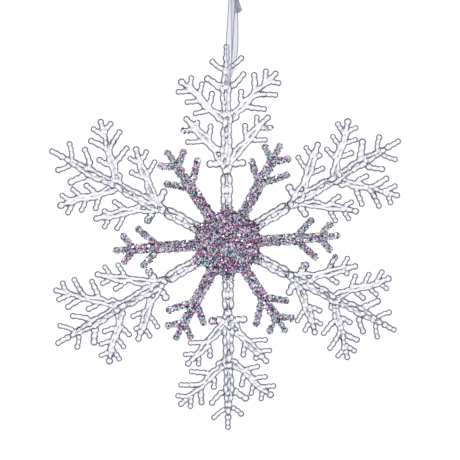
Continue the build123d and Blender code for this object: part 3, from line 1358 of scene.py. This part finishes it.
# ---------------------------------------------------------------- the studio


@dataclass
class Studio:
    """White paper far below, soft light all round, and the camera. Sizes in metres."""

    distance: float = 0.7387
    tilt: float = 15.92
    yaw: float = 6.16
    roll: float = -0.42
    hub_in_view: Point = (-0.00113, -0.00525)
    lens_over_frame: float = 1800 / 460
    floor_drop: float = 0.45
    surround: float = 0.55
    softbox: float = 1.72
    softbox_angle: float = 24  # how wide it looks from the ornament, in degrees
    softbox_towards: tuple[float, float, float] = (0.25, 0.45, -1.0)
    depth_of_glass: int = 32  # surfaces that light may pass, enough for all the arms in a row

    def camera(self, centre: Vector) -> None:
        """Makes the camera, which looks at the front from a little above and to its left.

        Args:
            centre: The hub's centre.
        """
        data = bpy.data.cameras.new("camera")
        data.sensor_width = 36.0
        data.lens = 36.0 * self.lens_over_frame
        data.clip_start, data.clip_end = 0.05, 50
        turn = (
            Matrix.Rotation(math.radians(self.roll), 3, "Y")
            @ Matrix.Rotation(math.radians(self.tilt), 3, "X")
            @ Matrix.Rotation(math.radians(self.yaw), 3, "Z")
        )
        hub = Vector((self.hub_in_view[0], self.distance, self.hub_in_view[1]))
        back = turn.transposed()
        looking = back @ Matrix(((1, 0, 0), (0, 0, -1), (0, 1, 0)))
        made = bpy.data.objects.new("camera", data)
        made.matrix_world = Matrix.Translation(centre - back @ hub) @ looking.to_4x4()
        bpy.context.scene.collection.objects.link(made)
        bpy.context.scene.camera = made

    def make(self, centre: Vector, paper: bpy.types.Material) -> None:
        """Builds the floor, the lights and the white surround.

        Args:
            centre: The hub's centre.
            paper: The floor's finish.
        """
        shape = bmesh.new()
        bmesh.ops.create_grid(shape, x_segments=4, y_segments=4, size=6.0)
        mesh = bpy.data.meshes.new("paper_floor")
        shape.to_mesh(mesh)
        shape.free()
        floor = new_object("paper_floor", mesh)
        floor.location = (0, 0, centre.z - self.floor_drop)
        floor.data.materials.append(paper)
        world = bpy.data.worlds.new("white_surround")
        bpy.context.scene.world = world
        world.use_nodes = True
        place = add_node(world.node_tree, "ShaderNodeTexCoord")
        axes = add_node(world.node_tree, "ShaderNodeSeparateXYZ", links={0: place.outputs["Generated"]})
        height = add_node(
            world.node_tree,
            "ShaderNodeMapRange",
            {"interpolation_type": "SMOOTHSTEP", "From Max": 0.7, "To Min": 1.0, "To Max": self.surround},
            {0: axes.outputs["Z"]},
        )
        surround = world.node_tree.nodes["Background"]
        surround.inputs["Color"].default_value = linear("#FFFFFF")
        world.node_tree.links.new(height.outputs[0], surround.inputs["Strength"])
        data = bpy.data.lights.new("overhead_softbox", "SUN")
        data.energy, data.angle = self.softbox, math.radians(self.softbox_angle)
        sky = bpy.data.objects.new("overhead_softbox", data)
        sky.rotation_euler = Vector(self.softbox_towards).to_track_quat("-Z", "Y").to_euler()
        bpy.context.scene.collection.objects.link(sky)
        bpy.context.scene.view_settings.view_transform = "Standard"
        bpy.context.scene.cycles.max_bounces = self.depth_of_glass
        bpy.context.scene.cycles.transmission_bounces = self.depth_of_glass


def main() -> None:
    """Builds every sub-assembly in order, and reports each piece."""
    logging.basicConfig(level=logging.INFO)
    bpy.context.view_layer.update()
    moulding = ClearMoulding()
    studio = Studio()
    studio.camera(moulding.centre)
    ribbon = HangingRibbon()
    ribbon.make(
        SheerOrganza("organza_sheer").make(),
        SheerOrganza("organza_folded", cover=0.8, edge_cover=0.95, thread="#8E93A8").make(),
    )
    moulding.make(CrystalPolystyrene().make())
    thin_adhesive = FlakedAdhesive(
        "flaked_adhesive_brushed_thin",
        ground=("#6E6A78", "#B9B8C8", "#E6E6F0", "#B48AB4", "#C4D8DA", "#8A8696", "#D8D7E4", "#A5A2B4"),
    )
    glitter = GlitterCoat(hub_film=FlakedAdhesive().make(), arm_film=thin_adhesive.make())
    for finish in (
        CutFilmFlake("film_violet_metallised", "#9A5FB0", "#7462A4"),
        CutFilmFlake("film_pink_metallised", "#DC55B4", "#BC5698"),
        CutFilmFlake("film_mint_metallised", "#66F0CC", "#8FD8DC"),
        CutFilmFlake("film_silver_metallised", "#FFFFFF", "#BDBFD0"),
        CutFilmFlake("film_smoke_metallised", "#131218", "#453F50"),
    ):
        glitter.finishes.append(finish.make())
    glitter.make(moulding)
    studio.make(moulding.centre, PalePaper().make())
    for sub_assembly in (ribbon, moulding, glitter):
        for piece in sub_assembly.pieces:
            LOG.info("%s: %d faces", piece.name, len(piece.data.polygons))


if __name__ == "__main__":
    main()
